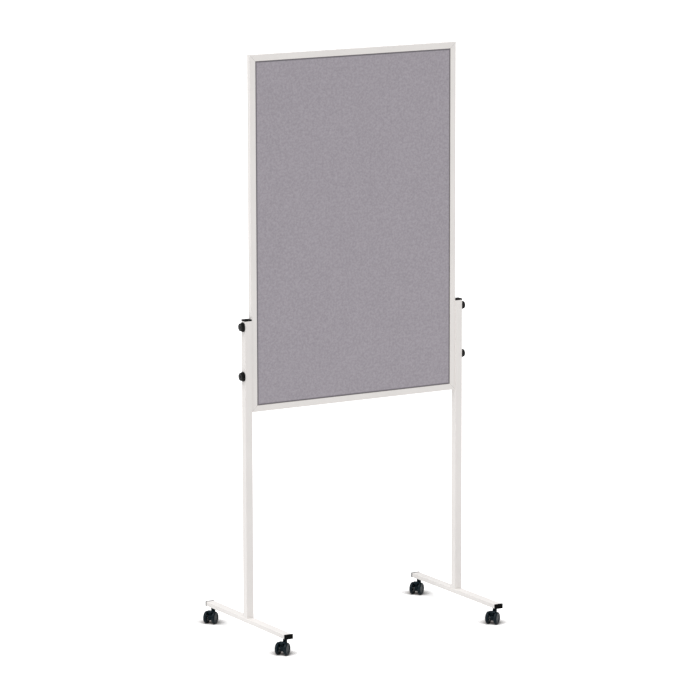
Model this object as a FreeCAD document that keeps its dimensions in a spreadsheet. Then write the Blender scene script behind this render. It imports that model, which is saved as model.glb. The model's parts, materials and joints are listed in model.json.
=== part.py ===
"""Mobile pin board: a felt-faced board in a mitred frame, clamped between two castored posts.

Millimetres. The origin lies on the floor under the middle of the board. +Z is up, the felt faces -Y,
and left and right are as seen by someone who stands in front of the felt.
"""

import FreeCAD, Part
import Sketcher
import enum
import math
import operator
import os
from types import SimpleNamespace

SIZES = {
    # Board
    "board_width": 800,  # outside width of the frame
    "board_height": 1200,  # outside height of the frame
    "board_bottom": 777,  # floor to the underside of the frame
    "frame_face": 21,  # width of the frame seen from the front
    "frame_chamber": 12,  # hollow outer part of that width, walls included
    "frame_wall": 1.5,  # wall of the frame section
    "core_thickness": 14.5,  # core panel
    "sheet_thickness": 0.6,  # whiteboard sheet
    "felt_thickness": 1.5,  # felt sheet
    "panel_bite": 7,  # reach of the panel under the frame's lips
    "panel_play": 0.4,  # room in the groove for the panel's thickness
    "felt_margin": 0.3,  # gap from the felt to the frame's lips
    "chamber_play": 0.2,  # gap around a key or nut block in the chamber
    "key_leg": 45,  # leg of a corner key, from its outer corner
    "nut_block_height": 24,  # nut block along the stile
    # Stand
    "post_side": 26,  # square tube of the post
    "post_wall": 1.5,  # wall of the post
    "post_corner": 1,  # outside corner radius of the post
    "post_top": 1088,  # floor to the top of the post's tube
    "post_cap_flange": 5,  # cap above the tube
    "post_cap_gap": 3,  # cap's plug to the upper stud's hole
    "cap_wall": 2,  # wall of a cap's plug
    "cap_edge": 0.6,  # rounded edge of a cap's flange
    "plug_play": 0.1,  # gap around a plug in its tube
    "post_plug_height": 25,  # threaded block in the post's foot end
    "foot_length": 543.6,  # tube of the foot, front to rear
    "foot_width": 30,  # tube of the foot, side to side
    "foot_height": 15,  # tube of the foot, bottom to top
    "foot_wall": 1.5,  # wall of the foot
    "foot_corner": 1,  # outside corner radius of the foot
    "foot_cap_flange": 5,  # cap beyond the foot's end
    "foot_cap_lip": 0.75,  # cap's flange beyond the foot's sides
    "foot_cap_plug": 14,  # cap inside the foot
    "screw_radius": 3,  # foot screw's shank
    "screw_length": 30,  # foot screw under its head
    "screw_head_radius": 5.25,  # foot screw's head
    "screw_head_height": 3.3,  # foot screw's head
    "screw_spacing": 11,  # between the two screws of a post
    "key_flats": 4,  # hexagon socket across its flats
    "key_depth": 2,  # hexagon socket
    # Hand screws
    "knob_drop": 20,  # top of the post's tube to the upper knob's axis
    "knob_spacing": 168,  # upper to lower knob
    "knob_base_radius": 16.5,  # skirt of the knob
    "knob_base_height": 3,  # skirt of the knob
    "knob_crown_radius": 13.5,  # grip of the knob
    "knob_height": 11.5,  # knob without its nub
    "knob_edge": 2,  # rounded rim of the grip
    "nub_radius": 3.2,  # nub in the middle of the knob
    "nub_height": 1.2,  # nub in the middle of the knob
    "flute_count": 8,  # finger flutes round the grip
    "flute_radius": 3.5,  # finger flute
    "flute_depth": 1.4,  # finger flute into the grip
    "stud_radius": 4,  # stud of the hand screw
    "stud_grip": 8.5,  # stud inside the knob
    "stud_chamfer": 1,  # bevel at the stud's tip
    "stud_tip_gap": 0.5,  # stud's tip to the chamber's inner wall
    "hole_play": 0.5,  # gap round a bolt in a plain hole
    "washer_radius": 11,  # washer under the knob
    "washer_thickness": 1.6,  # washer under the knob
    # Castors
    "castor_inset": 7.8,  # inner end of the foot's cap to the castor's stem
    "castor_turn": 36,  # degrees that the castors stand turned from +X
    "castor_trail": 20,  # stem's axis to the axle, level
    "wheel_radius": 21.75,  # tread of a wheel
    "wheel_width": 11.1,  # one wheel
    "wheel_gap": 19.9,  # between the two wheels of a castor
    "wheel_edge": 5,  # rounded outer rim of a wheel
    "wheel_inner_edge": 3.6,  # rounded inner rim of a wheel
    "wheel_end_wall": 3,  # wheel beyond the end of the axle's bore
    "dish_radius": 12,  # dished hub on a wheel's outer side
    "dish_depth": 1.2,  # dished hub on a wheel's outer side
    "axle_radius": 3,  # axle
    "axle_end_gap": 0.5,  # end of the axle to the end of its bore
    "running_play": 0.05,  # radial clearance of a bearing or thread
    "hood_width": 24,  # hood along the axle
    "hood_gap": 0.8,  # tread to the inside of the hood
    "hood_thickness": 1.7,  # shell of the hood
    "hood_rim": 0.6,  # shell at the hood's two rims
    "hood_slope": 2.5,  # sloped rim at each side of the hood
    "hood_front_sweep": 85,  # degrees that the hood reaches from the top towards its stem
    "hood_rear_sweep": 30,  # degrees that the hood reaches from the top the other way
    "web_width": 10.8,  # hood's web between the wheels
    "axle_boss_radius": 10,  # web's boss round the axle
    "neck_radius": 7.5,  # hood's neck round the stem, down to the axle
    "neck_length": 6.2,  # hood's neck above its shell
    "swivel_play": 0.2,  # up and down play of the hood on its stem
    "stem_radius": 4,  # stem in the hood and its thread
    "stem_head_radius": 5.2,  # riveted lower end of the stem
    "stem_head_height": 1.6,  # riveted lower end of the stem
    "stem_collar_radius": 7,  # collar that carries the foot
    "stem_collar_height": 2,  # collar that carries the foot
    "stem_end_gap": 2,  # end of the stem's thread to the end of its nut
    "nut_flange_radius": 6.5,  # rivet nut's flange under the foot
    "nut_flange_height": 1,  # rivet nut's flange under the foot
    "nut_body_radius": 5.4,  # rivet nut inside the foot
    "nut_top_gap": 3,  # rivet nut to the foot's upper wall
}

SIDES = {"left": -1, "right": 1}
ENDS = {"front": -1, "rear": 1}
UP = FreeCAD.Vector(0, 0, 1)
ACROSS = FreeCAD.Vector(1, 0, 0)
BACK = FreeCAD.Vector(0, 1, 0)
RIGHT_ANGLE = 90
HALF_TURN = 180
FULL_TURN = 360
HEXAGON_SIDES = 6
# A cut through a wall is made this many times as long as the wall is thick.
BEYOND = 3
# Lengths that differ by less count as equal.
CLOSE = FreeCAD.Base.Precision.approximation()
# The number by which a sketch knows its own origin.
ORIGIN = -1

doc = FreeCAD.newDocument("mobile_pin_board")
finished = []


class Point(enum.IntEnum):
    """The numbers by which a sketch knows the points of a curve."""

    START = 1
    END = 2
    CENTRE = 3


class Size:
    """A cell of the sheet or a formula of cells: its number now, and the text that keeps it bound."""

    def __init__(self, text, value):
        self.text = text
        self.value = value

    def __add__(self, other):
        return combine(self, "+", other)

    def __radd__(self, other):
        return combine(other, "+", self)

    def __sub__(self, other):
        return combine(self, "-", other)

    def __rsub__(self, other):
        return combine(other, "-", self)

    def __mul__(self, other):
        return combine(self, "*", other)

    def __rmul__(self, other):
        return combine(other, "*", self)

    def __truediv__(self, other):
        return combine(self, "/", other)

    def __neg__(self):
        return combine(0, "-", self)


def as_size(item):
    if isinstance(item, Size):
        return item
    return Size(f"({item})", item)


def combine(left, sign, right):
    work = {"+": operator.add, "-": operator.sub, "*": operator.mul, "/": operator.truediv}[sign]
    left = as_size(left)
    right = as_size(right)
    return Size(f"({left.text} {sign} {right.text})", work(left.value, right.value))


def fill_sheet():
    """Write the driving sizes into the sheet and return them by name."""
    sheet = doc.addObject("Spreadsheet::Sheet", "Sizes")
    sizes = SimpleNamespace()
    for row, (name, value) in enumerate(SIZES.items(), 1):
        sheet.set(f"A{row}", name.replace("_", " "))
        sheet.set(f"B{row}", str(value))
        sheet.setAlias(f"B{row}", name)
        setattr(sizes, name, Size(f"Sizes.{name}", value))
    doc.recompute()
    return sizes


s = fill_sheet()

# Sizes that follow from the driving ones.
frame_depth = 2 * s.frame_wall + s.core_thickness + s.sheet_thickness + s.panel_play
chamber_depth = frame_depth - 2 * s.frame_wall
chamber_inside = s.frame_chamber - 2 * s.frame_wall
board_middle = s.board_bottom + s.board_height / 2
hood_inside = s.wheel_radius + s.hood_gap
hood_outside = hood_inside + s.hood_thickness
neck_top = s.wheel_radius + hood_outside + s.neck_length
collar_bottom = neck_top + s.swivel_play
collar_top = collar_bottom + s.stem_collar_height
foot_bottom = collar_top + s.nut_flange_height
foot_top = foot_bottom + s.foot_height
post_x = s.board_width / 2 + s.post_side / 2
castor_y = s.foot_length / 2 - s.foot_cap_plug - s.castor_inset
nut_body_height = s.foot_height - s.foot_wall - s.nut_top_gap
upper_knob_z = s.post_top - s.knob_drop
knob_heights = {"upper": upper_knob_z, "lower": upper_knob_z - s.knob_spacing}
stud_reach = s.frame_chamber - s.frame_wall - s.stud_tip_gap
stud_hole = s.stud_radius + s.hole_play
post_cap_plug = s.knob_drop - stud_hole - s.post_cap_gap


def bind(item, name, size):
    item.setExpression(name, as_size(size).text)


def place(item, x=0, y=0, z=0, axis=UP, angle=0):
    """Put a piece at x, y, z, turned about an axis by an angle in degrees."""
    angle = as_size(angle)
    base = FreeCAD.Vector(as_size(x).value, as_size(y).value, as_size(z).value)
    item.Placement = FreeCAD.Placement(base, FreeCAD.Rotation(axis, angle.value))
    bind(item, "Placement.Base.x", x)
    bind(item, "Placement.Base.y", y)
    bind(item, "Placement.Base.z", z)
    if angle.value:
        bind(item, "Placement.Rotation.Angle", angle)
    return item


def finish(item):
    """Count a piece among those that are written out."""
    finished.append(item)
    return item


def new_body(label):
    body = doc.addObject("PartDesign::Body", label)
    body.Label = label
    return body


def new_sketch(body, role, x=0, y=0, rise=0):
    """Make a sketch on one of the body's own planes, moved within it by x, y and out of it by rise."""
    sketch = body.newObject("Sketcher::SketchObject", "Sketch")
    plane = next(item for item in body.Origin.OriginFeatures if item.Role == role)
    sketch.AttachmentSupport = (plane, [""])
    sketch.MapMode = "FlatFace"
    bind(sketch, "AttachmentOffset.Base.x", x)
    bind(sketch, "AttachmentOffset.Base.y", y)
    bind(sketch, "AttachmentOffset.Base.z", rise)
    return sketch


def pin(sketch, curve, point, x, y):
    """Hold a curve's point at x, y from the sketch's origin."""
    for kind, size in (("DistanceX", as_size(x)), ("DistanceY", as_size(y))):
        distance = Sketcher.Constraint(kind, ORIGIN, Point.START, curve, point, size.value)
        index = sketch.addConstraint(distance)
        bind(sketch, f"Constraints[{index}]", size)


def draw_polygon(sketch, corners):
    """Draw a closed outline of straight lines through the corners."""
    spots = [FreeCAD.Vector(as_size(x).value, as_size(y).value, 0) for x, y in corners]
    first = sketch.GeometryCount
    count = len(corners)
    for number in range(count):
        line = Part.LineSegment(spots[number], spots[(number + 1) % count])
        sketch.addGeometry(line, False)
    for number, (x, y) in enumerate(corners):
        after = first + (number + 1) % count
        corner = Sketcher.Constraint("Coincident", first + number, Point.END, after, Point.START)
        sketch.addConstraint(corner)
        pin(sketch, first + number, Point.START, x, y)


def draw_rectangle(sketch, left, bottom, right, top):
    draw_polygon(sketch, ((left, bottom), (right, bottom), (right, top), (left, top)))


def draw_centred_rectangle(sketch, width, height):
    draw_rectangle(sketch, -width / 2, -height / 2, width / 2, height / 2)


def draw_circle(sketch, x, y, radius):
    centre = FreeCAD.Vector(as_size(x).value, as_size(y).value, 0)
    curve = sketch.addGeometry(Part.Circle(centre, UP, radius.value), False)
    pin(sketch, curve, Point.CENTRE, x, y)
    index = sketch.addConstraint(Sketcher.Constraint("Radius", curve, radius.value))
    bind(sketch, f"Constraints[{index}]", radius)


def draw_hexagon(sketch, x, y, flats):
    """Draw a hexagon by its distance across flats."""
    reach = flats / math.sqrt(3)
    corners = []
    for number in range(HEXAGON_SIDES):
        angle = math.radians(number * FULL_TURN / HEXAGON_SIDES)
        corners.append((x + reach * math.cos(angle), y + reach * math.sin(angle)))
    draw_polygon(sketch, corners)


def pad(body, sketch, length, symmetric=False, reverse=False):
    feature = body.newObject("PartDesign::Pad", "Pad")
    feature.Profile = sketch
    feature.SideType = "Symmetric" if symmetric else "One side"
    feature.Reversed = reverse
    bind(feature, "Length", length)
    doc.recompute()
    return feature


def must_cut(body, before):
    """Stop if a cut left the body as it was."""
    doc.recompute()
    if not body.Shape.Volume < before - CLOSE:
        raise RuntimeError(f"{body.Label}: a cut removed nothing")


def pocket(body, sketch, length, symmetric=True, reverse=False):
    before = body.Shape.Volume
    feature = body.newObject("PartDesign::Pocket", "Pocket")
    feature.Profile = sketch
    feature.SideType = "Symmetric" if symmetric else "One side"
    feature.Reversed = reverse
    bind(feature, "Length", length)
    must_cut(body, before)
    return feature


def revolve(body, sketch, axis="V_Axis"):
    """Turn a sketch all the way about its own upright or level axis."""
    feature = body.newObject("PartDesign::Revolution", "Revolution")
    feature.Profile = sketch
    feature.ReferenceAxis = (sketch, [axis])
    doc.recompute()
    return feature


def revolve_between(body, sketch, axis, forward, backward):
    """Turn a sketch about its own axis by one angle to the front and another to the rear."""
    feature = revolve(body, sketch, axis)
    feature.Type = "TwoAngles"
    bind(feature, "Angle", forward)
    bind(feature, "Angle2", backward)
    doc.recompute()
    return feature


def round_edges(body, radius, wanted):
    """Round the edges of the body's last feature that the test picks."""
    base = body.Tip
    names = [f"Edge{number}" for number, edge in enumerate(base.Shape.Edges, 1) if wanted(edge)]
    if not names:
        raise RuntimeError(f"{body.Label}: no edge to round")
    feature = body.newObject("PartDesign::Fillet", "Fillet")
    feature.Base = (base, names)
    bind(feature, "Radius", radius)
    doc.recompute()
    return feature


def near(number, size):
    return abs(number - as_size(size).value) < CLOSE


def is_line_along(edge, direction):
    if not isinstance(edge.Curve, Part.Line):
        return False
    return abs(abs(edge.Curve.Direction.dot(direction)) - 1) < CLOSE


def new_box(label, length, width, height):
    box = doc.addObject("Part::Box", label)
    box.Label = label
    bind(box, "Length", length)
    bind(box, "Width", width)
    bind(box, "Height", height)
    return box


def group(label, members):
    """Gather identical pieces as separate solids of one node."""
    item = doc.addObject("Part::Compound", label)
    item.Label = label
    item.Links = members
    return finish(item)


# Board


def frame_member(label, length):
    """Mitred length of the frame's section, along X, with its outer side at z = 0 and facing up."""
    body = new_body(label)
    inner = -s.frame_face
    groove_top = -s.frame_chamber
    half = frame_depth / 2
    lip = half - s.frame_wall
    section = new_sketch(body, "YZ_Plane")
    draw_polygon(section, (
        (-half, 0), (half, 0), (half, inner), (lip, inner),
        (lip, groove_top), (-lip, groove_top), (-lip, inner), (-half, inner),
    ))
    draw_rectangle(section, -lip, groove_top + s.frame_wall, lip, -s.frame_wall)
    pad(body, section, length, symmetric=True)
    mitres = new_sketch(body, "XZ_Plane")
    over = s.frame_face
    for side in SIDES.values():
        draw_polygon(mitres, (
            (side * (length / 2 + over), over),
            (side * (length / 2 + over), -2 * over),
            (side * (length / 2 - 2 * over), -2 * over),
        ))
    pocket(body, mitres, BEYOND * frame_depth)
    return body


def make_frame():
    half_width = s.board_width / 2
    half_height = s.board_height / 2
    top = finish(frame_member("frame_top_rail", s.board_width))
    place(top, z=board_middle + half_height)
    bottom = finish(frame_member("frame_bottom_rail", s.board_width))
    place(bottom, z=s.board_bottom, axis=BACK, angle=HALF_TURN)
    for name, side in SIDES.items():
        stile = finish(frame_member(f"frame_{name}_stile", s.board_height))
        holes = new_sketch(stile, "XY_Plane")
        for height in knob_heights.values():
            draw_circle(holes, side * (board_middle - height), 0, stud_hole)
        pocket(stile, holes, BEYOND * s.frame_wall)
        place(stile, x=side * half_width, z=board_middle, axis=BACK, angle=side * RIGHT_ANGLE)


def make_corner_keys():
    """L-shaped keys in the chambers. The first is drawn for the top right corner."""
    section = chamber_inside - 2 * s.chamber_play
    outer = s.frame_wall + s.chamber_play
    spots = (
        (1, 1, 0),
        (1, -1, RIGHT_ANGLE),
        (-1, -1, HALF_TURN),
        (-1, 1, -RIGHT_ANGLE),
    )
    keys = []
    for number, (across, up, turn) in enumerate(spots, 1):
        key = new_body(f"corner_key_{number}")
        outline = new_sketch(key, "XZ_Plane")
        draw_polygon(outline, (
            (-outer, -outer), (-outer, -outer - s.key_leg),
            (-outer - section, -outer - s.key_leg), (-outer - section, -outer - section),
            (-outer - s.key_leg, -outer - section), (-outer - s.key_leg, -outer),
        ))
        pad(key, outline, chamber_depth - 2 * s.chamber_play, symmetric=True)
        place(key, x=across * s.board_width / 2, z=board_middle + up * s.board_height / 2, axis=BACK,
              angle=turn)
        keys.append(key)
    group("corner_keys", keys)


def make_nut_blocks():
    """Threaded blocks in the stiles' chambers, one behind each knob."""
    blocks = []
    thickness = chamber_inside - 2 * s.chamber_play
    for name, side in SIDES.items():
        for level, height in knob_heights.items():
            block = new_body(f"{name}_{level}_nut_block")
            outline = new_sketch(block, "YZ_Plane")
            draw_centred_rectangle(outline, chamber_depth - 2 * s.chamber_play, s.nut_block_height)
            draw_circle(outline, 0, 0, s.stud_radius + s.running_play)
            pad(block, outline, thickness, symmetric=True)
            place(block, x=side * (s.board_width / 2 - s.frame_chamber / 2), z=height)
            blocks.append(block)
    group("nut_blocks", blocks)


def make_panel():
    """Core between the frame's lips, with the felt on its front and the white sheet on its rear."""
    edge = s.frame_face - s.panel_bite
    width = s.board_width - 2 * edge
    height = s.board_height - 2 * edge
    core_front = -frame_depth / 2 + s.frame_wall + s.panel_play
    core = finish(new_box("core_panel", width, s.core_thickness, height))
    place(core, x=-width / 2, y=core_front, z=s.board_bottom + edge)
    sheet = finish(new_box("whiteboard_sheet", width, s.sheet_thickness, height))
    place(sheet, x=-width / 2, y=core_front + s.core_thickness, z=s.board_bottom + edge)
    felt_edge = s.frame_face + s.felt_margin
    felt_width = s.board_width - 2 * felt_edge
    felt = finish(new_box("felt_sheet", felt_width, s.felt_thickness, s.board_height - 2 * felt_edge))
    place(felt, x=-felt_width / 2, y=core_front - s.felt_thickness, z=s.board_bottom + felt_edge)


# Stand


def make_post(name, side):
    """Square tube with its foot end at z = 0, drilled for the two hand screws."""
    body = finish(new_body(f"{name}_post"))
    length = s.post_top - foot_top
    section = new_sketch(body, "XY_Plane")
    draw_centred_rectangle(section, s.post_side, s.post_side)
    inside = s.post_side - 2 * s.post_wall
    draw_centred_rectangle(section, inside, inside)
    pad(body, section, length)
    round_edges(body, s.post_corner, lambda edge: (
        is_line_along(edge, UP) and near(abs(edge.CenterOfMass.x), s.post_side / 2)))
    holes = new_sketch(body, "YZ_Plane")
    for height in knob_heights.values():
        draw_circle(holes, 0, height - foot_top, stud_hole)
    pocket(body, holes, BEYOND * s.post_side)
    place(body, x=side * post_x, z=foot_top)


def end_cap(label, width, height, flange, lip, wall, plug):
    """Cap for a tube's end: a flange above z = 0 and a hollow plug below, inside the tube."""
    body = finish(new_body(label))
    face = new_sketch(body, "XY_Plane")
    draw_centred_rectangle(face, width + 2 * lip, height + 2 * lip)
    pad(body, face, flange)
    round_edges(body, s.cap_edge, lambda edge: near(edge.BoundBox.ZMin, flange))
    sleeve = new_sketch(body, "XY_Plane")
    plug_width = width - 2 * (wall + s.plug_play)
    plug_height = height - 2 * (wall + s.plug_play)
    draw_centred_rectangle(sleeve, plug_width, plug_height)
    draw_centred_rectangle(sleeve, plug_width - 2 * s.cap_wall, plug_height - 2 * s.cap_wall)
    pad(body, sleeve, plug, reverse=True)
    return body


def make_post_fittings(name, side):
    cap = end_cap(f"{name}_post_cap", s.post_side, s.post_side, s.post_cap_flange, as_size(0),
                  s.post_wall, post_cap_plug)
    place(cap, x=side * post_x, z=s.post_top)
    block = finish(new_body(f"{name}_post_plug"))
    outline = new_sketch(block, "XY_Plane")
    inside = s.post_side - 2 * (s.post_wall + s.plug_play)
    draw_centred_rectangle(outline, inside, inside)
    for end in ENDS.values():
        draw_circle(outline, 0, end * s.screw_spacing / 2, s.screw_radius + s.running_play)
    pad(block, outline, s.post_plug_height)
    place(block, x=side * post_x, z=foot_top)


def make_foot(name, side):
    """Flat rectangular tube along Y with its lower side at z = 0, and a cap in each end."""
    body = finish(new_body(f"{name}_foot"))
    section = new_sketch(body, "XZ_Plane")
    half = s.foot_width / 2
    draw_rectangle(section, -half, 0, half, s.foot_height)
    draw_rectangle(section, -half + s.foot_wall, s.foot_wall, half - s.foot_wall,
                   s.foot_height - s.foot_wall)
    pad(body, section, s.foot_length, symmetric=True)
    round_edges(body, s.foot_corner, lambda edge: (
        is_line_along(edge, BACK) and near(abs(edge.CenterOfMass.x), half)))
    screw_holes = new_sketch(body, "XY_Plane")
    nut_holes = new_sketch(body, "XY_Plane")
    for end in ENDS.values():
        draw_circle(screw_holes, 0, end * s.screw_spacing / 2, s.screw_radius + s.hole_play)
        draw_circle(nut_holes, 0, end * castor_y, s.nut_body_radius + s.plug_play)
    pocket(body, screw_holes, BEYOND * s.foot_height)
    pocket(body, nut_holes, BEYOND * s.foot_wall)
    place(body, x=side * post_x, z=foot_bottom)
    for end_name, end in ENDS.items():
        cap = end_cap(f"{name}_foot_{end_name}_cap", s.foot_width, s.foot_height, s.foot_cap_flange,
                      s.foot_cap_lip, s.foot_wall, s.foot_cap_plug)
        place(cap, x=side * post_x, y=end * s.foot_length / 2, z=foot_bottom + s.foot_height / 2,
              axis=ACROSS, angle=-end * RIGHT_ANGLE)


def foot_screw(label):
    """Socket head screw, head down, with the head's bearing face at z = 0."""
    body = new_body(label)
    outline = new_sketch(body, "XZ_Plane")
    draw_polygon(outline, (
        (0, -s.screw_head_height), (s.screw_head_radius, -s.screw_head_height),
        (s.screw_head_radius, 0), (s.screw_radius, 0),
        (s.screw_radius, s.screw_length), (0, s.screw_length),
    ))
    revolve(body, outline)
    socket = new_sketch(body, "XY_Plane", rise=-s.screw_head_height)
    draw_hexagon(socket, 0, 0, s.key_flats)
    pocket(body, socket, s.key_depth, symmetric=False, reverse=True)
    return body


def rivet_nut(label):
    """Blind rivet nut with its flange under z = 0 and its body above."""
    body = new_body(label)
    bore = s.stem_radius + s.running_play
    outline = new_sketch(body, "XZ_Plane")
    draw_polygon(outline, (
        (bore, -s.nut_flange_height), (s.nut_flange_radius, -s.nut_flange_height),
        (s.nut_flange_radius, 0), (s.nut_body_radius, 0),
        (s.nut_body_radius, nut_body_height), (bore, nut_body_height),
    ))
    revolve(body, outline)
    return body


def make_foot_fasteners():
    screws = []
    nuts = []
    for name, side in SIDES.items():
        for end_name, end in ENDS.items():
            screw = foot_screw(f"{name}_{end_name}_foot_screw")
            place(screw, x=side * post_x, y=end * s.screw_spacing / 2, z=foot_bottom)
            screws.append(screw)
            nut = rivet_nut(f"{name}_{end_name}_castor_nut")
            place(nut, x=side * post_x, y=end * castor_y, z=foot_bottom)
            nuts.append(nut)
    group("foot_screws", screws)
    group("castor_nuts", nuts)


# Hand screws


def knob(label):
    """Fluted knob on the Z axis, skirt down, with a blind bore for its stud."""
    body = finish(new_body(label))
    bore = s.stud_radius + s.running_play
    nub_top = s.knob_height + s.nub_height
    outline = new_sketch(body, "XZ_Plane")
    draw_polygon(outline, (
        (bore, 0), (s.knob_base_radius, 0), (s.knob_base_radius, s.knob_base_height),
        (s.knob_crown_radius, s.knob_base_height), (s.knob_crown_radius, s.knob_height),
        (s.nub_radius, s.knob_height), (s.nub_radius, nub_top), (0, nub_top),
        (0, s.stud_grip), (bore, s.stud_grip),
    ))
    revolve(body, outline)
    rim = (s.knob_crown_radius, s.knob_height)
    skirt = (s.knob_base_radius, s.knob_base_height)
    for (radius, height), edge_radius in ((rim, s.knob_edge), (skirt, s.knob_base_height / 2)):
        round_edges(body, edge_radius, lambda edge: (
            near(edge.BoundBox.XMax, radius) and near(edge.BoundBox.ZMin, height)
            and near(edge.BoundBox.ZMax, height)))
    flute = new_sketch(body, "XY_Plane", rise=s.knob_height)
    reach = s.knob_crown_radius + s.flute_radius - s.flute_depth
    draw_circle(flute, reach, 0, s.flute_radius)
    cut = pocket(body, flute, s.knob_height - s.knob_base_height, symmetric=False)
    before = body.Shape.Volume
    ring = body.newObject("PartDesign::PolarPattern", "PolarPattern")
    ring.Originals = [cut]
    ring.Axis = (flute, ["N_Axis"])
    ring.Angle = FULL_TURN
    bind(ring, "Occurrences", s.flute_count)
    body.Tip = ring
    must_cut(body, before)
    return body


def stud(label):
    """Threaded stud on the Z axis, from inside the knob to the nut block, with a chamfered tip."""
    body = finish(new_body(label))
    tip = -(s.washer_thickness + s.post_side + stud_reach)
    outline = new_sketch(body, "XZ_Plane")
    draw_polygon(outline, (
        (0, tip), (s.stud_radius - s.stud_chamfer, tip), (s.stud_radius, tip + s.stud_chamfer),
        (s.stud_radius, s.stud_grip), (0, s.stud_grip),
    ))
    revolve(body, outline)
    return body


def washer(label):
    body = finish(new_body(label))
    outline = new_sketch(body, "XY_Plane")
    draw_circle(outline, 0, 0, s.washer_radius)
    draw_circle(outline, 0, 0, stud_hole)
    pad(body, outline, s.washer_thickness)
    return body


def make_hand_screws():
    outer_face = s.board_width / 2 + s.post_side
    seat = outer_face + s.washer_thickness
    for name, side in SIDES.items():
        for level, height in knob_heights.items():
            label = f"{name}_{level}"
            turn = side * RIGHT_ANGLE
            place(knob(f"{label}_knob"), x=side * seat, z=height, axis=BACK, angle=turn)
            place(stud(f"{label}_stud"), x=side * seat, z=height, axis=BACK, angle=turn)
            place(washer(f"{label}_washer"), x=side * outer_face, z=height, axis=BACK, angle=turn)


# Castors. Each is drawn with its stem on the Z axis, the floor at z = 0 and its axle behind, along Y.


def castor_stem(label):
    body = finish(new_body(label))
    head_top = s.wheel_radius - s.swivel_play
    head_bottom = head_top - s.stem_head_height
    thread_top = foot_bottom + nut_body_height - s.stem_end_gap
    outline = new_sketch(body, "XZ_Plane")
    draw_polygon(outline, (
        (0, head_bottom), (s.stem_head_radius, head_bottom), (s.stem_head_radius, head_top),
        (s.stem_radius, head_top), (s.stem_radius, collar_bottom),
        (s.stem_collar_radius, collar_bottom), (s.stem_collar_radius, collar_top),
        (s.stem_radius, collar_top), (s.stem_radius, thread_top), (0, thread_top),
    ))
    revolve(body, outline)
    return body


def castor_hood(label):
    """Round shell over the wheels' inner rims, on a web that holds the axle and the stem's neck."""
    body = finish(new_body(label))
    half = s.hood_width / 2
    shoulder = half - s.hood_slope
    rim = hood_inside + s.hood_rim
    shell = new_sketch(body, "YZ_Plane", y=s.wheel_radius, rise=-s.castor_trail)
    draw_polygon(shell, (
        (-half, hood_inside), (half, hood_inside), (half, rim), (shoulder, hood_outside),
        (-shoulder, hood_outside), (-half, rim),
    ))
    revolve_between(body, shell, "H_Axis", s.hood_front_sweep, s.hood_rear_sweep)
    web = new_sketch(body, "YZ_Plane", y=s.wheel_radius, rise=-s.castor_trail)
    draw_rectangle(web, -s.web_width / 2, 0, s.web_width / 2, hood_inside + s.hood_thickness / 2)
    revolve_between(body, web, "H_Axis", RIGHT_ANGLE, s.hood_rear_sweep)
    axle_boss = new_sketch(body, "XZ_Plane")
    draw_circle(axle_boss, -s.castor_trail, s.wheel_radius, s.axle_boss_radius)
    pad(body, axle_boss, s.web_width, symmetric=True)
    neck = new_sketch(body, "XY_Plane", rise=s.wheel_radius)
    draw_circle(neck, 0, 0, s.neck_radius)
    pad(body, neck, neck_top - s.wheel_radius)
    axle_hole = new_sketch(body, "XZ_Plane")
    draw_circle(axle_hole, -s.castor_trail, s.wheel_radius, s.axle_radius + s.running_play)
    pocket(body, axle_hole, BEYOND * s.web_width)
    stem_hole = new_sketch(body, "XY_Plane")
    draw_circle(stem_hole, 0, 0, s.stem_radius + s.running_play)
    pocket(body, stem_hole, BEYOND * neck_top)
    return body


def castor_axle(label):
    body = finish(new_body(label))
    bore_depth = s.wheel_width - s.wheel_end_wall
    section = new_sketch(body, "XZ_Plane")
    draw_circle(section, -s.castor_trail, s.wheel_radius, s.axle_radius)
    pad(body, section, s.wheel_gap + 2 * (bore_depth - s.axle_end_gap), symmetric=True)
    return body


def castor_wheel(label, side):
    """Wheel with a rounded tread and a dished outer side, on a blind bore for the axle."""
    body = finish(new_body(label))
    inner = side * s.wheel_gap / 2
    outer = side * (s.wheel_gap / 2 + s.wheel_width)
    bore_end = outer - side * s.wheel_end_wall
    dish = outer - side * s.dish_depth
    bore = s.axle_radius + s.running_play
    outline = new_sketch(body, "YZ_Plane", y=s.wheel_radius, rise=-s.castor_trail)
    draw_polygon(outline, (
        (inner, bore), (inner, s.wheel_radius), (outer, s.wheel_radius), (outer, s.dish_radius),
        (dish, s.dish_radius - s.dish_depth), (dish, 0), (bore_end, 0), (bore_end, bore),
    ))
    revolve(body, outline, "H_Axis")
    for place_along, radius in ((outer, s.wheel_edge), (inner, s.wheel_inner_edge)):
        round_edges(body, radius, lambda edge: (
            near(edge.BoundBox.ZMax, 2 * s.wheel_radius)
            and near(edge.BoundBox.YMin, place_along) and near(edge.BoundBox.YMax, place_along)))
    return body


def make_castor(end_name, end, side_name, side):
    label = f"{end_name}_{side_name}_castor"
    pieces = [castor_stem(f"{label}_stem"), castor_hood(f"{label}_hood"), castor_axle(f"{label}_axle")]
    pieces.append(castor_wheel(f"{label}_left_wheel", 1))
    pieces.append(castor_wheel(f"{label}_right_wheel", -1))
    for piece in pieces:
        place(piece, x=side * post_x, y=end * castor_y, angle=s.castor_turn)


def build():
    make_frame()
    make_corner_keys()
    make_nut_blocks()
    make_panel()
    for name, side in SIDES.items():
        make_post(name, side)
        make_post_fittings(name, side)
        make_foot(name, side)
    make_foot_fasteners()
    make_hand_screws()
    for end_name, end in ENDS.items():
        for side_name, side in SIDES.items():
            make_castor(end_name, end, side_name, side)
    doc.recompute()


def check():
    """Stop if anything failed to build."""
    for item in doc.Objects:
        if "Invalid" in item.State or "Error" in item.State:
            raise RuntimeError(f"{item.Label} failed: {item.State}")
    for item in finished:
        if item.Shape.isNull() or not item.Shape.isValid():
            raise RuntimeError(f"{item.Label} has no sound shape")


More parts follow.
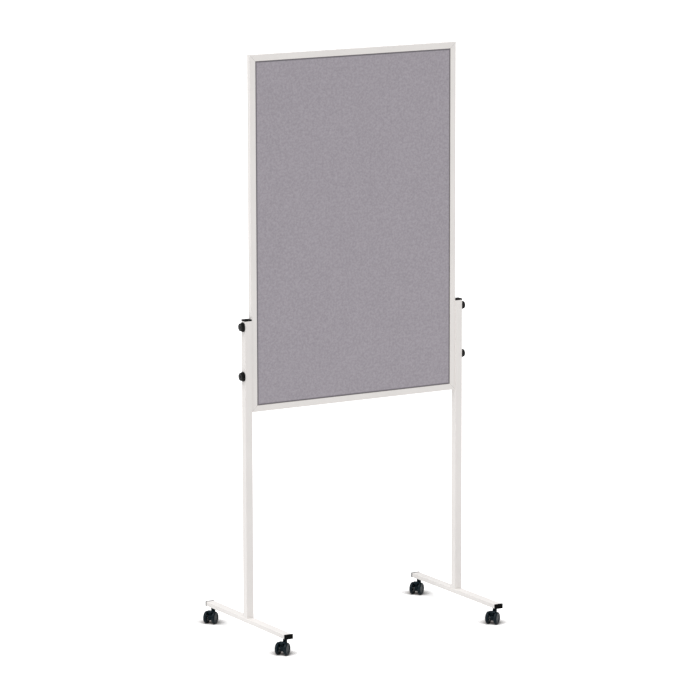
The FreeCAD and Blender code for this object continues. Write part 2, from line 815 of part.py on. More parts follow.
def write():
    os.makedirs("parts", exist_ok=True)
    for item in finished:
        item.Shape.exportStep(f"parts/{item.Label}.step")


build()
check()
write()
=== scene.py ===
"""A felt pin board with a whiteboard back, on a castored stand, finished for a studio picture.

Metres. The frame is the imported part's own: +Z up, the felt faces -Y, the floor at z = 0.
A pattern's size is given in clouds to the metre. A pair such as CASTING_PATCHES holds the two levels
of a pattern between which one colour or gloss gives way to the next, and a value such as
CASTING_SKIN_ROUGH says how much of a pattern is added to the roughness.
"""

import json
import math

import bpy
from mathutils import Matrix, Vector


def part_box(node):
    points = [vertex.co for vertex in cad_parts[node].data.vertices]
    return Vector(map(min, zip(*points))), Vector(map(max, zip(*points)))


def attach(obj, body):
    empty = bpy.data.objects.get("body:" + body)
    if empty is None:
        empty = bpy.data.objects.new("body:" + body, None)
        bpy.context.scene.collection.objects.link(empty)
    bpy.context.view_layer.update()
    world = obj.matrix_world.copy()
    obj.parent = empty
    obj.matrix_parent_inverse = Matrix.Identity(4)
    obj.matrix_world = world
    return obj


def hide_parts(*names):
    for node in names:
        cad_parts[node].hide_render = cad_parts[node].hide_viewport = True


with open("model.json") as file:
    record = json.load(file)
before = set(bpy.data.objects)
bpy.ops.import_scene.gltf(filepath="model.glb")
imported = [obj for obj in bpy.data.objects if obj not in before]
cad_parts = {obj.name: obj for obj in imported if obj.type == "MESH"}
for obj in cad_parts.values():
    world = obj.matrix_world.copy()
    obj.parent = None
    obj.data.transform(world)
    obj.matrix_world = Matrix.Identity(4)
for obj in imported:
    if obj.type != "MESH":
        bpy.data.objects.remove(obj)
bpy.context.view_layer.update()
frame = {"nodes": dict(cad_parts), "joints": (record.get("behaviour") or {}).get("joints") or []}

nodes = frame["nodes"]


# Corner keys, nut blocks and post plugs: zinc castings, left raw and hidden in the tubes.
# The keys hold the mitres together, the blocks take the hand screws and the plugs take the foot screws.

CASTING_LIGHT = (0.52, 0.52, 0.54, 1)
CASTING_DARK = (0.36, 0.36, 0.38, 1)
CASTING_METAL = 0.9
CASTING_SKIN = 350
CASTING_POCKS = 2400
CASTING_PATCHES = (0.35, 0.65)
CASTING_ROUGH = 0.4
CASTING_SKIN_ROUGH = 0.25
CASTING_POCK_HEIGHT = 0.5
CASTING_DEPTH = 0.00006


class Signal:
    """A socket of a node tree that sums, products and other maths can be written with."""

    def __init__(self, tree, socket):
        self.tree = tree
        self.socket = socket

    def node(self, kind, settings=None, sockets=None, output=0):
        """Add a node: first its settings, then the values or links of its sockets."""
        made = self.tree.nodes.new(kind)
        for name, value in (settings or {}).items():
            setattr(made, name, value)
        for name, value in (sockets or {}).items():
            if isinstance(value, Signal):
                self.tree.links.new(value.socket, made.inputs[name])
            else:
                made.inputs[name].default_value = value
        return Signal(self.tree, made.outputs[output])

    def maths(self, operation, *operands):
        return self.node("ShaderNodeMath", {"operation": operation}, dict(enumerate(operands)))

    def __add__(self, other):
        return self.maths("ADD", self, other)

    def __sub__(self, other):
        return self.maths("SUBTRACT", self, other)

    def __rsub__(self, other):
        return self.maths("SUBTRACT", other, self)

    def __mul__(self, other):
        return self.maths("MULTIPLY", self, other)

    def __truediv__(self, other):
        return self.maths("DIVIDE", self, other)

    def __pow__(self, power):
        return self.maths("POWER", self, power)

    def __neg__(self):
        return self.maths("SUBTRACT", 0, self)

    def __abs__(self):
        return self.maths("ABSOLUTE", self)

    def least(self, other):
        return self.maths("MINIMUM", self, other)

    def most(self, other):
        return self.maths("MAXIMUM", self, other)

    def sine(self):
        return self.maths("SINE", self)

    def cosine(self):
        return self.maths("COSINE", self)

    def root(self):
        return self.maths("SQRT", self)

    def fraction(self):
        return self.maths("FRACT", self)

    def along(self, axis):
        """One coordinate of a place: X, Y or Z."""
        return self.node("ShaderNodeSeparateXYZ", sockets={"Vector": self}, output=axis)

    def rise(self, low, high):
        """From 0 at low to 1 at high, eased at both ends."""
        sockets = {"Value": self, "From Min": low, "From Max": high}
        return self.node("ShaderNodeMapRange", {"interpolation_type": "SMOOTHSTEP"}, sockets)

    def blend(self, first, second):
        """Mix two colours by this share of the second."""
        return self.node("ShaderNodeMix", {"data_type": "RGBA"}, {0: self, 6: first, 7: second}, 2)

    def turned(self, centre=(0, 0, 0), turn=(0, 0, 0), stretch=(1, 1, 1)):
        """The same place seen from a centre, with the axes turned and lengths divided by the stretch."""
        sockets = {"Vector": self, "Location": centre, "Rotation": turn, "Scale": stretch}
        return self.node("ShaderNodeMapping", {"vector_type": "TEXTURE"}, sockets)

    def noise(self, scale, detail=2):
        """Cloudy pattern from 0 to 1 with this many clouds to the metre."""
        return self.node("ShaderNodeTexNoise", sockets={"Vector": self, "Scale": scale, "Detail": detail})


def new_finish(name, constants):
    """Start a material from its shader's constant values. Returns it and the place on its piece."""
    material = bpy.data.materials.new(name)
    material.use_nodes = True
    tree = material.node_tree
    shader = tree.nodes["Principled BSDF"]
    for socket, value in constants.items():
        shader.inputs[socket].default_value = value
    return material, Signal(tree, tree.nodes.new("ShaderNodeTexCoord").outputs["Object"])


def feed(material, colour, roughness, height, depth):
    """Link what varies over a finish: its colour, its roughness and the height that dents it."""
    shader = material.node_tree.nodes["Principled BSDF"]
    bump = height.node("ShaderNodeBump", sockets={"Height": height, "Distance": depth})
    for socket, signal in (("Base Color", colour), ("Roughness", roughness), ("Normal", bump)):
        height.tree.links.new(signal.socket, shader.inputs[socket])


def put_on(material, names):
    """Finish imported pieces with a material."""
    for name in names:
        nodes[name].material_slots[0].material = material


def raw_casting():
    """Blotchy grey metal with the fine pocks that casting leaves."""
    material, place = new_finish("raw zinc casting", {"Metallic": CASTING_METAL})
    skin = place.noise(CASTING_SKIN, detail=4)
    pocks = place.noise(CASTING_POCKS)
    colour = skin.rise(*CASTING_PATCHES).blend(CASTING_DARK, CASTING_LIGHT)
    roughness = skin * CASTING_SKIN_ROUGH + CASTING_ROUGH
    feed(material, colour, roughness, skin + pocks * CASTING_POCK_HEIGHT, CASTING_DEPTH)
    return material


put_on(raw_casting(), ["corner_keys", "nut_blocks", "left_post_plug", "right_post_plug"])


# Frame: four mitred lengths of hollow steel section, powder coated white after cutting.
# The coat leaves a fine orange peel, and a hairline shows where two mitres meet.

PAINT_WHITE = (0.796, 0.765, 0.742, 1)
PAINT_SHADE = (0.756, 0.727, 0.705, 1)
PAINT_GLOSS = {"Specular IOR Level": 0.4, "Coat Weight": 0.15, "Coat Roughness": 0.3}
PAINT_CLOUDS = 6
PAINT_PEEL = 650
PAINT_SPECKLE = 2600
PAINT_SPECKLE_SHARE = 0.3
PAINT_PATCHES = (0.3, 0.7)
PAINT_ROUGH = 0.36
PAINT_PEEL_ROUGH = 0.1
PAINT_CLOUD_ROUGH = 0.08
PAINT_SPECKLE_HEIGHT = 0.2
PAINT_DEPTH = 0.00005
MITRE_DARK = (0.30, 0.29, 0.28, 1)
MITRE_LINE = 0.00035
MITRE_HEIGHT = 4
FRAME_NAMES = ["frame_top_rail", "frame_bottom_rail", "frame_left_stile", "frame_right_stile"]
board_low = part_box("frame_bottom_rail")[0]
board_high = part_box("frame_top_rail")[1]


def mitre_lines(place):
    """1 on the planes where the frame's lengths meet, at 45 degrees through each corner."""
    across = abs(place.along("X")) - board_high.x
    above = across - (place.along("Z") - board_high.z)
    below = across + (place.along("Z") - board_low.z)
    return 1 - abs(above).least(abs(below)).rise(MITRE_LINE / 2, MITRE_LINE)


def powder_coat(name, line=None):
    """White powder coat, darker and sunk where a joint's line shows."""
    material, place = new_finish(name, PAINT_GLOSS)
    clouds = place.noise(PAINT_CLOUDS, detail=3)
    peel = place.noise(PAINT_PEEL)
    speckle = place.noise(PAINT_SPECKLE)
    tint = clouds * (1 - PAINT_SPECKLE_SHARE) + speckle * PAINT_SPECKLE_SHARE
    colour = tint.rise(*PAINT_PATCHES).blend(PAINT_SHADE, PAINT_WHITE)
    roughness = peel * PAINT_PEEL_ROUGH + clouds * PAINT_CLOUD_ROUGH + PAINT_ROUGH
    height = peel + speckle * PAINT_SPECKLE_HEIGHT
    if line:
        groove = line(place)
        colour = groove.blend(colour, MITRE_DARK)
        height = height - groove * MITRE_HEIGHT
    feed(material, colour, roughness, height, PAINT_DEPTH)
    return material


put_on(powder_coat("frame powder coat", mitre_lines), FRAME_NAMES)


# Core panel: soft fibre board that fills the frame's groove and takes the pins.
# Pressed from grey-brown pulp, it only shows where the felt is lifted.

CORE_PALE = (0.50, 0.42, 0.31, 1)
CORE_DARK = (0.33, 0.27, 0.19, 1)
CORE_GLOSS = {"Specular IOR Level": 0.2}
CORE_FIBRES = 900
CORE_FIBRE_STRETCH = (6, 1, 1)
CORE_PULP = 70
CORE_PULP_SHARE = 0.4
CORE_PATCHES = (0.35, 0.65)
CORE_ROUGH = 0.85
CORE_PULP_ROUGH = 0.1
CORE_DEPTH = 0.0003


def pulp_board():
    """Fibres that mostly lie level, in lumps of pulp."""
    material, place = new_finish("fibre board", CORE_GLOSS)
    fibres = place.turned(stretch=CORE_FIBRE_STRETCH).noise(CORE_FIBRES, detail=3)
    pulp = place.noise(CORE_PULP, detail=4)
    tint = fibres * (1 - CORE_PULP_SHARE) + pulp * CORE_PULP_SHARE
    colour = tint.rise(*CORE_PATCHES).blend(CORE_DARK, CORE_PALE)
    feed(material, colour, pulp * CORE_PULP_ROUGH + CORE_ROUGH, fibres, CORE_DEPTH)
    return material


put_on(pulp_board(), ["core_panel"])


# Whiteboard sheet: thin steel behind the core, stove-lacquered white and glossy to be wiped.
# The lacquer flows out in long low waves, and years of wiping leave it a little uneven in gloss.

LACQUER_WHITE = (0.84, 0.845, 0.85, 1)
LACQUER_GREY = (0.80, 0.805, 0.815, 1)
LACQUER_GLOSS = {"Coat Weight": 0.5, "Coat Roughness": 0.05}
LACQUER_WAVES = 25
LACQUER_ROUGH = 0.14
LACQUER_DEPTH = 0.0002
WIPE_MARKS = 14
WIPE_STRETCH = (1, 1, 7)
WIPE_LEAN = (0, math.radians(62), 0)
WIPE_PATCHES = (0.4, 0.62)
WIPE_DULL_PATCHES = (0.35, 0.7)
WIPE_ROUGH = 0.1


def stove_lacquer():
    """Glossy white with slanting wipe marks, a little greyer and duller."""
    material, place = new_finish("stove lacquer", LACQUER_GLOSS)
    waves = place.noise(LACQUER_WAVES)
    wipes = place.turned(turn=WIPE_LEAN, stretch=WIPE_STRETCH).noise(WIPE_MARKS, detail=5)
    colour = wipes.rise(*WIPE_PATCHES).blend(LACQUER_WHITE, LACQUER_GREY)
    roughness = wipes.rise(*WIPE_DULL_PATCHES) * WIPE_ROUGH + LACQUER_ROUGH
    feed(material, colour, roughness, waves, LACQUER_DEPTH)
    return material


put_on(stove_lacquer(), ["whiteboard_sheet"])


# Felt: one sheet of grey needle felt, cut to the frame's opening and glued to the core.
# It is soft and slightly uneven, and its cut edge rolls down beside the frame's lips, where painted shade
# darkens it.

FELT_LIGHT = (0.394, 0.363, 0.402, 1)
FELT_DARK = (0.296, 0.271, 0.303, 1)
FELT_EDGE_SHADE = (0.165, 0.152, 0.169, 1)
FELT_NAP = {"Specular IOR Level": 0.15, "Sheen Weight": 0.25, "Sheen Roughness": 0.6}
FELT_FIBRES = 1300
FELT_FIBRE_STRETCH = (5, 1, 1)
FELT_FIBRE_LEANS = (math.radians(20), math.radians(-55))
FELT_FIBRE_SHARE = 0.80
FELT_TUFTS = 135
FELT_TUFT_SHARE = 0.51
FELT_TUFT_HEIGHT = 0.6
FELT_CLOUDS = 9
FELT_CLOUD_SHARE = 0.06
FELT_PATCHES = (0.535, 0.915)
FELT_ROUGH = 0.86
FELT_TUFT_ROUGH = 0.1
FELT_DEPTH = 0.0004
FELT_ROLL = 0.0065
FELT_RIPPLE = 0.0001
FELT_RIPPLE_WAVES = ((31, 9), (-7, 23))
FELT_COLUMNS = 121
FELT_ROWS = 181
SEAM = 1e-6
felt_low, felt_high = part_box("felt_sheet")
felt_width = felt_high.x - felt_low.x
felt_height = felt_high.z - felt_low.z
felt_thickness = felt_high.y - felt_low.y
felt_middle = (felt_low + felt_high) / 2


def needle_felt():
    """Fibres that lie in all directions, in tufts and clouds, with painted shade along the sheet's edge.
    """
    material, place = new_finish("needle felt", FELT_NAP)
    lain, crossed = [
        place.turned(turn=(0, lean, 0), stretch=FELT_FIBRE_STRETCH).noise(FELT_FIBRES, detail=3)
        for lean in FELT_FIBRE_LEANS
    ]
    fibres = lain.most(crossed)
    tufts = place.noise(FELT_TUFTS, detail=1)
    clouds = place.noise(FELT_CLOUDS, detail=3)
    grain = fibres * FELT_FIBRE_SHARE + tufts * FELT_TUFT_SHARE + clouds * FELT_CLOUD_SHARE
    colour = grain.rise(*FELT_PATCHES).blend(FELT_DARK, FELT_LIGHT)
    # Painted shade: a dark band along the sheet's edge, where it rolls down into the groove beside the
    # frame's lips.
    side = felt_width / 2 - abs(place.along("X") - felt_middle.x)
    end = felt_height / 2 - abs(place.along("Z") - felt_middle.z)
    edge_shade = 1 - side.least(end).rise(FELT_ROLL / 2, FELT_ROLL)
    colour = edge_shade.blend(colour, FELT_EDGE_SHADE)
    roughness = tufts * FELT_TUFT_ROUGH + FELT_ROUGH
    feed(material, colour, roughness, fibres + tufts * FELT_TUFT_HEIGHT, FELT_DEPTH)
    return material


def new_tree(name, inputs):
    """Start a tree of geometry nodes with named inputs. Returns it and the inputs as signals."""
    tree = bpy.data.node_groups.new(name, "GeometryNodeTree")
    for label, kind in inputs.items():
        tree.interface.new_socket(label, in_out="INPUT", socket_type=kind)
    tree.interface.new_socket("Geometry", in_out="OUTPUT", socket_type="NodeSocketGeometry")
    entry = tree.nodes.new("NodeGroupInput")
    return tree, {label: Signal(tree, entry.outputs[label]) for label in inputs}


def close_tree(tree, mesh, material):
    """End a tree: close its seams, smooth it, and give its real geometry a material."""
    mesh = mesh.node("GeometryNodeMergeByDistance", sockets={"Geometry": mesh, "Distance": SEAM})
    mesh = mesh.node("GeometryNodeSetShadeSmooth", sockets={"Geometry": mesh})
    mesh = mesh.node("GeometryNodeRealizeInstances", sockets={"Geometry": mesh})
    mesh = mesh.node("GeometryNodeSetMaterial", sockets={"Geometry": mesh, "Material": material})
    tree.links.new(mesh.socket, tree.nodes.new("NodeGroupOutput").inputs["Geometry"])


def grow(tree, name, sizes):
    """Run a tree once with these sizes and return the result as a plain mesh object."""
    piece = bpy.data.objects.new(name, bpy.data.meshes.new(name))
    bpy.context.scene.collection.objects.link(piece)
    modifier = piece.modifiers.new("shape", "NODES")
    modifier.node_group = tree
    for item in tree.interface.items_tree:
        if item.in_out == "INPUT":
            modifier[item.identifier] = sizes[item.name]
    graph = bpy.context.evaluated_depsgraph_get()
    mesh = bpy.data.meshes.new_from_object(piece.evaluated_get(graph), depsgraph=graph)
    piece.modifiers.clear()
    piece.data = mesh
    return piece


def felt_tree(material):
    """Two faces of a sheet that meet along its edge: the front rolls down to the flat back.

    The grid reaches from -1 to 1 both ways, and the sine crowds its rows where the edge rolls.
    """
    tree, size = new_tree("felt sheet", {
        "Width": "NodeSocketFloat", "Height": "NodeSocketFloat", "Thickness": "NodeSocketFloat",
        "Roll": "NodeSocketFloat", "Ripple": "NodeSocketFloat",
        "Columns": "NodeSocketInt", "Rows": "NodeSocketInt",
    })
    start = size["Width"]
    grid = start.node("GeometryNodeMeshGrid", sockets={
        "Size X": 2, "Size Y": 2, "Vertices X": size["Columns"], "Vertices Y": size["Rows"]})
    spot = start.node("GeometryNodeInputPosition")
    x = size["Width"] / 2 * (spot.along("X") * (math.pi / 2)).sine()
    z = size["Height"] / 2 * (spot.along("Y") * (math.pi / 2)).sine()
    edge = (size["Width"] / 2 - abs(x)).least(size["Height"] / 2 - abs(z))
    share = (1 - edge / size["Roll"]).most(0)
    slanting, crossing = [(x * across + z * up).sine() for across, up in FELT_RIPPLE_WAVES]
    ripple = slanting * crossing * size["Ripple"]
    lift = size["Thickness"] * (1 - share * share).most(0).root() + ripple * (1 - share)
    faces = []
    for depth in (-lift, 0):
        where = start.node("ShaderNodeCombineXYZ", sockets={"X": x, "Y": depth, "Z": z})
        faces.append(start.node("GeometryNodeSetPosition", sockets={"Geometry": grid, "Position": where}))
    front, back = faces
    back = start.node("GeometryNodeFlipFaces", sockets={"Mesh": back})
    joined = start.node("GeometryNodeJoinGeometry", sockets={"Geometry": front})
    tree.links.new(back.socket, joined.socket.node.inputs["Geometry"])
    close_tree(tree, joined, material)
    return tree


felt = grow(felt_tree(needle_felt()), "felt_face", {
    "Width": felt_width, "Height": felt_height, "Thickness": felt_thickness - FELT_RIPPLE,
    "Roll": FELT_ROLL, "Ripple": FELT_RIPPLE, "Columns": FELT_COLUMNS, "Rows": FELT_ROWS,
})
felt.data.transform(Matrix.Translation((felt_middle.x, felt_high.y, felt_middle.z)))
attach(felt, "stand")
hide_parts("felt_sheet")


# Posts and feet: square and flat steel tube, powder coated like the frame.
# Each post stands on its foot and is drawn down by two screws from below.

SIDES = {"left": -1, "right": 1}
ENDS = ("front", "rear")
put_on(powder_coat("stand powder coat"), [f"{side}_{tube}" for side in SIDES for tube in ("post", "foot")])


# Caps of the posts and feet: moulded in matt black plastic, pushed into the tubes' ends.
# The mould's fine grain shows, with a few paler rubs.

CAP_BLACK = (0.004, 0.004, 0.004, 1)
CAP_RUBBED = (0.010, 0.010, 0.010, 1)
CAP_GLEAM = 0.02
CAP_ROUGH = 0.5
CAP_GRAIN = 1800
CAP_GRAIN_ROUGH = 0.12
CAP_RUBS = 120
CAP_RUB_PATCHES = (0.5, 0.75)
CAP_RUB_SHINE_PATCHES = (0.5, 0.8)
CAP_RUB_SHINE = 0.1
CAP_DEPTH = 0.00008


def grained_plastic(name, black, rubbed, roughness, gleam):
    """Black plastic with a grained skin, paler and smoother where it is rubbed."""
    material, place = new_finish(name, {"Specular IOR Level": gleam})
    grain = place.noise(CAP_GRAIN)
    rubs = place.noise(CAP_RUBS, detail=5)
    colour = rubs.rise(*CAP_RUB_PATCHES).blend(black, rubbed)
    shine = rubs.rise(*CAP_RUB_SHINE_PATCHES) * CAP_RUB_SHINE
    feed(material, colour, grain * CAP_GRAIN_ROUGH - shine + roughness, grain, CAP_DEPTH)
    return material


cap_names = [f"{side}_post_cap" for side in SIDES]
cap_names += [f"{side}_foot_{end}_cap" for side in SIDES for end in ENDS]
put_on(grained_plastic("moulded caps", CAP_BLACK, CAP_RUBBED, CAP_ROUGH, CAP_GLEAM), cap_names)


# Foot screws, rivet nuts, axles and stems: turned steel.
# The screws, nuts and axles are zinc plated; the castors' stems are blackened.

ZINC_BRIGHT = (0.66, 0.67, 0.69, 1)
ZINC_DULL = (0.48, 0.49, 0.50, 1)
BLACKENED_LIGHT = (0.045, 0.046, 0.05, 1)
BLACKENED_DARK = (0.02, 0.02, 0.022, 1)
STEEL_CLOUDS = 260
STEEL_PATCHES = (0.35, 0.65)
STEEL_RINGS = 3000
STEEL_RING_STRETCH = (1, 8, 1)
STEEL_ROUGH = 0.2
STEEL_CLOUD_ROUGH = 0.2
STEEL_RING_ROUGH = 0.1
STEEL_DEPTH = 0.00002


def turned_steel(name, dull, bright):
    """Metal with the lathe's fine marks, clouded in colour and gloss."""
    material, place = new_finish(name, {"Metallic": 1.0})
    clouds = place.noise(STEEL_CLOUDS, detail=3)
    rings = place.turned(stretch=STEEL_RING_STRETCH).noise(STEEL_RINGS)
    colour = clouds.rise(*STEEL_PATCHES).blend(dull, bright)
    roughness = clouds * STEEL_CLOUD_ROUGH + rings * STEEL_RING_ROUGH + STEEL_ROUGH
    feed(material, colour, roughness, rings, STEEL_DEPTH)
    return material


zinc_plate = turned_steel("zinc plate", ZINC_DULL, ZINC_BRIGHT)
castors = [f"{end}_{side}_castor" for end in ENDS for side in SIDES]
put_on(zinc_plate, ["foot_screws", "castor_nuts"] + [f"{castor}_axle" for castor in castors])
blackened_steel = turned_steel("blackened steel", BLACKENED_DARK, BLACKENED_LIGHT)
put_on(blackened_steel, [f"{castor}_stem" for castor in castors])


# Castors: a wheel on each side of a hood with a neck for the stem, all moulded in blue-black nylon.
# The wheels' sides keep the mould's rings, and their treads are paler: partly floor dust, partly a painted
# highlight along the tread.

NYLON_BLACK = (0.002, 0.008, 0.012, 1)
NYLON_SHEEN = (0.008, 0.015, 0.020, 1)
NYLON_FLOW = 90
NYLON_GRAIN = 1500
NYLON_DEPTH = 0.00006
WHEEL_GLEAM = 0.075
WHEEL_FLOW_PATCHES = (0.35, 0.7)
WHEEL_ROUGH = 0.18
WHEEL_FLOW_ROUGH = 0.1
RING_STEP = 0.0022
RING_ZONE = 0.0115
RING_HEIGHT = 0.5
TREAD_DUST_AND_HIGHLIGHT = (0.014, 0.019, 0.023, 1)
TREAD_ZONE = (0.93, 0.99)
DUST_AND_HIGHLIGHT_CLOUDS = 240
DUST_AND_HIGHLIGHT_PATCHES = (0.4, 0.7)
DUST_ROUGH = 0.2
HOOD_GLEAM = 0.08
HOOD_FLOW_PATCHES = (0.45, 0.8)
HOOD_ROUGH = 0.42
HOOD_FLOW_ROUGH = 0.12
joints = {joint["name"]: joint for joint in frame["joints"]}


def axle_of(castor):
    """A castor's axle: its middle, and how far it is turned from +Y about the upright."""
    joint = joints[f"{castor}_left_wheel_spin"]
    return joint["pos_m"], math.atan2(-joint["axis"][0], joint["axis"][1])


def wheel_nylon(castor):
    """Nylon with mould rings round the hub and a paler tread, partly dust and partly painted highlight,
    centred on a castor's axle.

    The axle's height is the wheel's radius, and the tread's zone is given in shares of it.
    """
    material, place = new_finish(f"{castor} wheels", {"Specular IOR Level": WHEEL_GLEAM})
    centre, turn = axle_of(castor)
    local = place.turned(centre, (0, 0, turn))
    across = local.along("X")
    up = local.along("Z")
    radius = (across * across + up * up).root()
    hub = 1 - radius.rise(RING_ZONE, RING_ZONE + RING_STEP)
    rings = (radius * (2 * math.pi / RING_STEP)).sine() * hub
    # Painted highlight and dust: the tread's rim is paler all round, broken into patches.
    tread = radius.rise(*[centre[2] * share for share in TREAD_ZONE])
    dust_and_highlight = tread * place.noise(DUST_AND_HIGHLIGHT_CLOUDS, detail=4).rise(*DUST_AND_HIGHLIGHT_PATCHES)
    flow = place.noise(NYLON_FLOW, detail=3)
    grain = place.noise(NYLON_GRAIN)
    nylon = flow.rise(*WHEEL_FLOW_PATCHES).blend(NYLON_BLACK, NYLON_SHEEN)
    roughness = dust_and_highlight * DUST_ROUGH + flow * WHEEL_FLOW_ROUGH + WHEEL_ROUGH
    feed(material, dust_and_highlight.blend(nylon, TREAD_DUST_AND_HIGHLIGHT), roughness, rings * RING_HEIGHT + grain, NYLON_DEPTH)
    return material


def hood_nylon():
    """The same nylon, duller and without rings or the paler tread."""
    material, place = new_finish("hood nylon", {"Specular IOR Level": HOOD_GLEAM})
    flow = place.noise(NYLON_FLOW, detail=3)
    grain = place.noise(NYLON_GRAIN)
    colour = flow.rise(*HOOD_FLOW_PATCHES).blend(NYLON_BLACK, NYLON_SHEEN)
    feed(material, colour, flow * HOOD_FLOW_ROUGH + HOOD_ROUGH, grain, NYLON_DEPTH)
    return material


put_on(hood_nylon(), [f"{castor}_hood" for castor in castors])
for castor in castors:
    put_on(wheel_nylon(castor), [f"{castor}_left_wheel", f"{castor}_right_wheel"])


# Hand screws: a fluted black knob on a zinc-plated stud, with a black washer under it.
# The stud has a rolled thread up to the knob, which is moulded round its plain end.

KNOB_BLACK = (0.004, 0.004, 0.004, 1)
KNOB_RUBBED = (0.012, 0.012, 0.012, 1)
KNOB_ROUGH = 0.3
KNOB_GLEAM = 0.1
WASHER_ROUGH = 0.55
WASHER_GLEAM = 0.04
THREAD_PITCH = 0.00125
THREAD_DEPTH = 0.0007
THREAD_SIDES = 24
THREAD_STEPS = 8
STUD_BEVEL = 0.001
hand_screws = [f"{side}_{level}" for side in SIDES for level in ("upper", "lower")]
knob_plastic = grained_plastic("moulded knobs", KNOB_BLACK, KNOB_RUBBED, KNOB_ROUGH, KNOB_GLEAM)
washer_plastic = grained_plastic("moulded washers", CAP_BLACK, CAP_RUBBED, WASHER_ROUGH, WASHER_GLEAM)
put_on(knob_plastic, [f"{screw}_knob" for screw in hand_screws])
put_on(washer_plastic, [f"{screw}_washer" for screw in hand_screws])


def thread_tree(material):
    """A stud along +X from its tip: a sheet wrapped into a tube, with a thread up to its plain end.

    The sheet is a grid of side 1 about its middle. Its first and last rows close the tube's ends.
    """
    tree, size = new_tree("threaded stud", {
        "Radius": "NodeSocketFloat", "Length": "NodeSocketFloat", "Plain": "NodeSocketFloat",
        "Pitch": "NodeSocketFloat", "Depth": "NodeSocketFloat", "Bevel": "NodeSocketFloat",
        "Sides": "NodeSocketInt", "Rows": "NodeSocketInt",
    })
    start = size["Radius"]
    grid = start.node("GeometryNodeMeshGrid", sockets={
        "Size X": 1, "Size Y": 1, "Vertices X": size["Rows"], "Vertices Y": size["Sides"] + 1})
    spot = start.node("GeometryNodeInputPosition")
    share = spot.along("X") + 1 / 2
    lap = spot.along("Y") + 1 / 2
    reach = share * size["Length"]
    wave = abs((reach / size["Pitch"] - lap).fraction() - 1 / 2) * 2
    threaded = 1 - (reach - (size["Length"] - size["Plain"])).rise(0, size["Pitch"])
    radius = size["Radius"] - size["Depth"] * wave * threaded
    radius = radius.least(size["Radius"] - size["Bevel"] + reach)
    ends = (share.least(1 - share) * size["Rows"]).least(1)
    angle = lap * (2 * math.pi)
    y = radius * ends * angle.cosine()
    z = radius * ends * angle.sine()
    where = start.node("ShaderNodeCombineXYZ", sockets={"X": reach, "Y": y, "Z": z})
    tube = start.node("GeometryNodeSetPosition", sockets={"Geometry": grid, "Position": where})
    close_tree(tree, tube, material)
    return tree


stud_tree = thread_tree(zinc_plate)
for screw in hand_screws:
    low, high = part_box(f"{screw}_stud")
    outward = SIDES[screw.split("_")[0]]
    knob_seat = joints[f"{screw}_knob_turn"]["pos_m"][0]
    length = high.x - low.x
    tip = low.x if outward > 0 else high.x
    stud = grow(stud_tree, f"{screw}_threaded_stud", {
        "Radius": (high.z - low.z) / 2, "Length": length, "Plain": length - abs(knob_seat - tip),
        "Pitch": THREAD_PITCH, "Depth": THREAD_DEPTH, "Bevel": STUD_BEVEL,
        "Sides": THREAD_SIDES, "Rows": round(length / THREAD_PITCH * THREAD_STEPS),
    })
    half_turn = Matrix.Rotation(0 if outward > 0 else math.pi, 4, "Z")
    stud.data.transform(Matrix.Translation((tip, (low.y + high.y) / 2, (low.z + high.z) / 2)) @ half_turn)
    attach(stud, f"{screw}_knob_body")
    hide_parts(f"{screw}_stud")


# Studio: a pale floor without an edge, an even bright room and one broad soft light.
# The light stands high on the left and a little in front; seen directly, floor and room are white.
# The floor darkens close round whatever stands on it.

WHITE = (1, 1, 1, 1)
FLOOR_PALE = (0.86, 0.86, 0.86, 1)
FLOOR_SHADOW = (0.06, 0.03, 0.02, 1)
FLOOR_REACH = 150
FLOOR_GLOW = 0.5
SHADOW_REACH = 0.06
SHADOW_DEPTH = 3.5
SHADOW_FROM = {"X": -0.45, "Y": -0.78, "Z": 0.42}
ROOM_LIGHT = 0.55
BACKDROP_LIGHT = 1
SOFT_LIGHT = 2.24
SOFT_WIDTH = 48
SOFT_FROM = Vector((-0.25, -0.13, 0.655))


def seen(tree):
    """1 where something is seen directly, in a reflection or through glass, and 0 where it only lights."""
    path = tree.nodes.new("ShaderNodeLightPath")
    rays = ("Is Camera Ray", "Is Glossy Ray", "Is Transmission Ray")
    direct, mirrored, through = [Signal(tree, path.outputs[ray]) for ray in rays]
    return direct.most(mirrored).most(through)


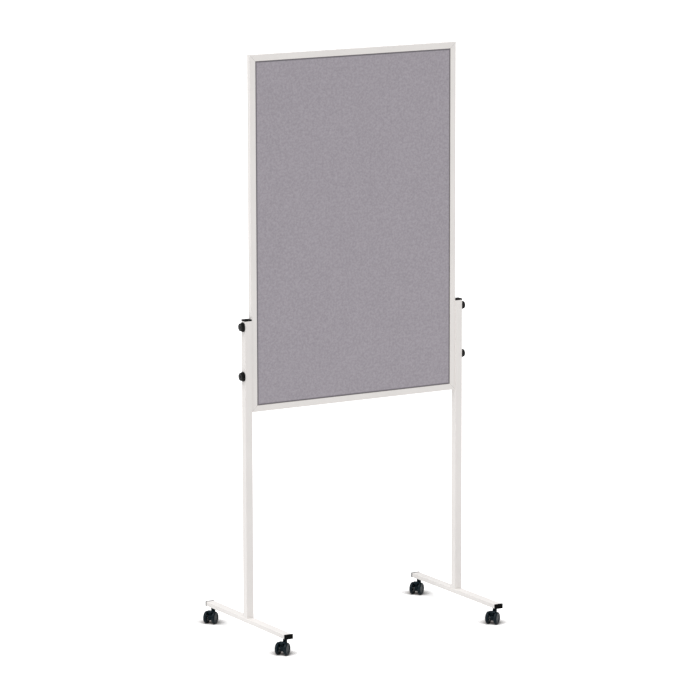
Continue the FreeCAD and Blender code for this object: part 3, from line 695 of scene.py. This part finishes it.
def studio_floor():
    """A wide square that looks white where nothing is near it."""
    corners = [(-FLOOR_REACH, -FLOOR_REACH, 0), (FLOOR_REACH, -FLOOR_REACH, 0),
               (FLOOR_REACH, FLOOR_REACH, 0), (-FLOOR_REACH, FLOOR_REACH, 0)]
    mesh = bpy.data.meshes.new("floor")
    mesh.from_pydata(corners, [], [(0, 1, 2, 3)])
    floor = bpy.data.objects.new("floor", mesh)
    bpy.context.scene.collection.objects.link(floor)
    material, place = new_finish("studio floor", {
        "Roughness": 1, "Specular IOR Level": 0, "Emission Strength": FLOOR_GLOW,
    })
    tree = material.node_tree
    shader = tree.nodes["Principled BSDF"]
    aim = place.node("ShaderNodeCombineXYZ", sockets=SHADOW_FROM)
    sockets = {"Distance": SHADOW_REACH, "Normal": aim}
    clear = place.node("ShaderNodeAmbientOcclusion", sockets=sockets, output="AO") ** SHADOW_DEPTH
    tree.links.new(clear.blend(FLOOR_SHADOW, FLOOR_PALE).socket, shader.inputs["Base Color"])
    tree.links.new((clear * seen(tree)).socket, shader.inputs["Emission Color"])
    mesh.materials.append(material)


def studio_room():
    """White all round: dimmer as a light than as a backdrop."""
    world = bpy.data.worlds.new("room")
    world.use_nodes = True
    tree = world.node_tree
    view = seen(tree)
    lighting, backdrop = [view.node("ShaderNodeBackground", sockets={"Color": WHITE, "Strength": level})
                          for level in (ROOM_LIGHT, BACKDROP_LIGHT)]
    room = view.node("ShaderNodeMixShader", sockets={0: view, 1: lighting, 2: backdrop})
    tree.links.new(room.socket, tree.nodes["World Output"].inputs["Surface"])
    bpy.context.scene.world = world


def studio_light():
    """One lamp so wide that its shadows have no edge."""
    data = bpy.data.lights.new("soft light", "SUN")
    data.energy = SOFT_LIGHT
    data.angle = math.radians(SOFT_WIDTH)
    lamp = bpy.data.objects.new("soft light", data)
    lamp.rotation_euler = SOFT_FROM.to_track_quat("Z", "Y").to_euler()
    bpy.context.scene.collection.objects.link(lamp)


studio_floor()
studio_room()
studio_light()
bpy.context.scene.view_settings.view_transform = "Standard"


# Camera: a long lens far off to the left, above the board, as the photograph was taken.
# It looks down by ten degrees with a very slight roll, and everything is in focus.

CAMERA_PLACE = (-7.0162, -11.9526, 3.4725)
CAMERA_YAW = math.radians(30.365)
CAMERA_PITCH = math.radians(10.313)
CAMERA_ROLL = math.radians(-0.12)
CAMERA_LENS = 213.65
CAMERA_SENSOR = 36
CAMERA_REACH = 4 * FLOOR_REACH

lens = bpy.data.cameras.new("camera")
lens.sensor_width = CAMERA_SENSOR
lens.lens = CAMERA_LENS
lens.clip_end = CAMERA_REACH
camera = bpy.data.objects.new("camera", lens)
camera.location = CAMERA_PLACE
facing = Matrix.Rotation(-CAMERA_YAW, 3, "Z") @ Matrix.Rotation(math.pi / 2 - CAMERA_PITCH, 3, "X")
camera.rotation_euler = (facing @ Matrix.Rotation(CAMERA_ROLL, 3, "Z")).to_euler()
bpy.context.scene.collection.objects.link(camera)
bpy.context.scene.camera = camera
